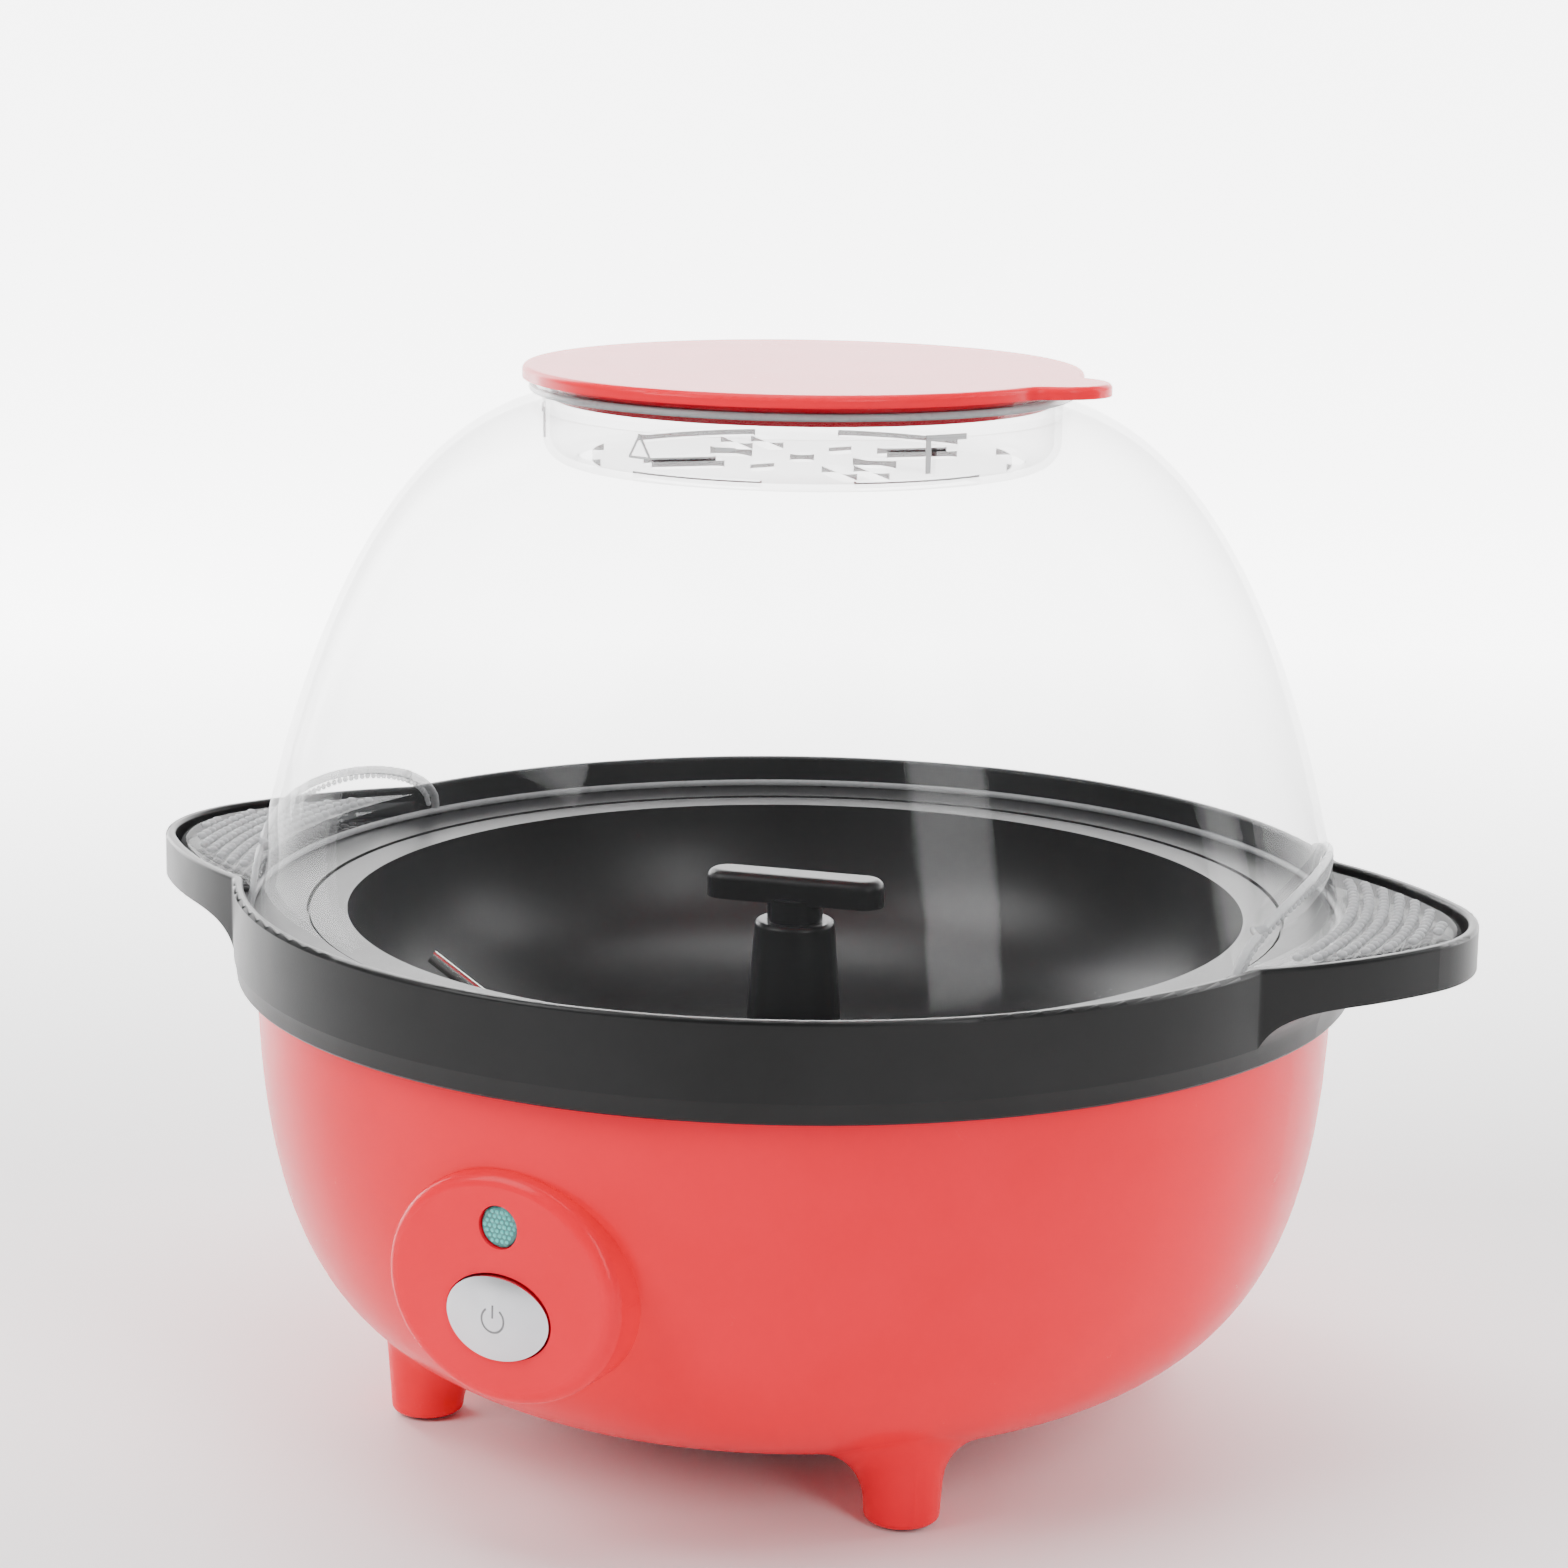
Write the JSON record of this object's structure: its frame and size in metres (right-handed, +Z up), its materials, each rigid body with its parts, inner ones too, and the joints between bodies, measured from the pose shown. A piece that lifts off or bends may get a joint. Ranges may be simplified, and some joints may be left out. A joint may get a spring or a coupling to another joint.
{
  "type": "popcorn maker",
  "caption": "Round stirring popcorn maker: footed red bowl housing with an oval control panel, black eared collar, dark pot with a stirrer, and a clear eared dome with a vent tray and red cap.",
  "frame": {"origin": "on the table, under the bowl's axis", "axes": "+Z up, control panel towards -Y, ears along X turned 11.6 degrees"},
  "size_m": [0.3346, 0.28, 0.2614],
  "materials": {
    "red_plastic": "gloss",
    "black_plastic": "satin",
    "nonstick": "satin nonstick coating",
    "rubber_pad": "matt",
    "cover_plastic": "matt",
    "zinc_steel": "zinc plated",
    "spring_steel": "bright",
    "stainless": "polished",
    "sheet_aluminium": "mill",
    "element_sheath": "heat-tinted",
    "ceramic": "glazed",
    "brass_fitting": "turned",
    "copper_coil": "enamelled",
    "magnet": "matt",
    "acetal": "matt",
    "silver_button": "satin",
    "grey_moulding": "matt",
    "green_lens": "faceted, translucent",
    "lamp_glass": "clear",
    "wire_red": "insulation",
    "wire_blue": "insulation",
    "clear_plastic": "clear, gloss",
    "silicone": "matt"
  },
  "bodies": {
    "base": {"housing": "red_plastic", "foot_pads": "rubber_pad", "base_cover": "cover_plastic", "base_cover_screws": "zinc_steel", "collar_ring": "black_plastic", "collar_screws": "zinc_steel", "heating_pot": "nonstick", "pot_studs": "zinc_steel", "tie_posts": "zinc_steel", "bracket_spacers": "zinc_steel", "shield_spacers": "ceramic", "heat_shield": "sheet_aluminium", "heating_element": "element_sheath", "element_terminals": "ceramic", "thermostat": "ceramic", "thermal_fuse": "sheet_aluminium", "fuse_clip": "spring_steel", "motor_can": "zinc_steel", "motor_coil": "copper_coil", "gear_plate": "zinc_steel", "gearbox_cover": "zinc_steel", "gear_pins": "stainless", "motor_bracket": "zinc_steel", "motor_screws": "zinc_steel", "shaft_bush": "brass_fitting", "bush_seal": "silicone", "bush_nut": "zinc_steel", "switch_bracket": "zinc_steel", "switch_screws": "zinc_steel", "power_switch": "grey_moulding", "switch_tags": "brass_fitting", "button_spring": "spring_steel", "indicator_lens": "green_lens", "indicator_lamp": "lamp_glass", "lamp_holder": "grey_moulding", "terminal_block": "acetal", "block_screws": "brass_fitting", "cord_gland": "cover_plastic", "gland_nut": "cover_plastic", "wire_live": "wire_red", "wire_switched": "wire_red", "wire_neutral": "wire_blue"},
    "stirrer": {"output_gear": "acetal", "drive_shaft": "stainless", "stir_hub": "black_plastic", "stir_arms": "stainless", "stir_knob": "black_plastic"},
    "idler": {"idler_gear": "acetal"},
    "rotor": {"rotor": "magnet", "rotor_pinion": "brass_fitting"},
    "button": {"power_button": "silver_button", "switch_plunger": "acetal"},
    "lid": {"dome": "clear_plastic"},
    "tray": {"vent_tray": "clear_plastic"},
    "cap": {"top_cap": "red_plastic"}
  },
  "joints": [
    {"name": "lid_lift", "type": "slide", "parent": "base", "child": "lid", "axis": [0, 0, 1], "range_m": [0, 0.15]},
    {"name": "tray_twist", "type": "hinge", "parent": "lid", "child": "tray", "pos_m": [0, 0, 0.25], "axis": [0, 0, 1], "range_deg": [0, 25]},
    {"name": "cap_lift", "type": "slide", "parent": "tray", "child": "cap", "axis": [0, 0, 1], "range_m": [0, 0.04]},
    {"name": "stir_spin", "type": "hinge", "parent": "base", "child": "stirrer", "pos_m": [0, 0, 0.09], "axis": [0, 0, 1], "continuous": true},
    {"name": "idler_spin", "type": "hinge", "parent": "base", "child": "idler", "pos_m": [0.015, 0, 0.05], "axis": [0, 0, 1], "continuous": true},
    {"name": "rotor_spin", "type": "hinge", "parent": "base", "child": "rotor", "pos_m": [0, 0, 0.04], "axis": [0, 0, 1], "continuous": true},
    {"name": "button_press", "type": "slide", "parent": "base", "child": "button", "axis": [0, 1, 0], "range_m": [0, 0.0025], "stiffness_N_per_m": 800, "springref_m": -0.001, "deforming": ["button_spring"]}
  ],
  "couplings": [
    {"joint": "idler_spin", "follows": "stir_spin", "ratio": -3.2857},
    {"joint": "rotor_spin", "follows": "stir_spin", "ratio": 13.143}
  ]
}
